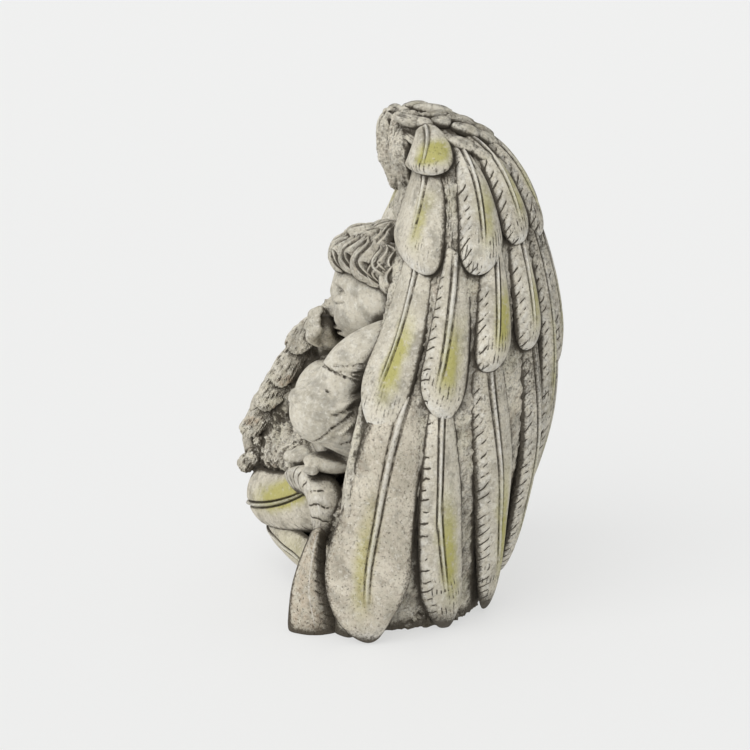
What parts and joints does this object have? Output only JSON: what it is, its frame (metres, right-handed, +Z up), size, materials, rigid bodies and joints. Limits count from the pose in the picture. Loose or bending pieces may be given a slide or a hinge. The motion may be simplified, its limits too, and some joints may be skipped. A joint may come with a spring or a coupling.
{
  "type": "cherub figurine",
  "caption": "Sleeping winged child seated inside its own folded wings, carved in overlapping feather rows, as a small free-standing garden or shelf ornament.",
  "frame": {"origin": "on the ground, under the middle of the figurine's box", "axes": "+Z up, the child faces -Y, +X is the child's left"},
  "size_m": [0.1242, 0.1104, 0.1876],
  "materials": {
    "cast_stone": "matt, weathered, with a dark wash in the carving and yellow-green stains on the feathers"
  },
  "bodies": {
    "root": {"cherub_figurine": "cast_stone"}
  },
  "joints": []
}
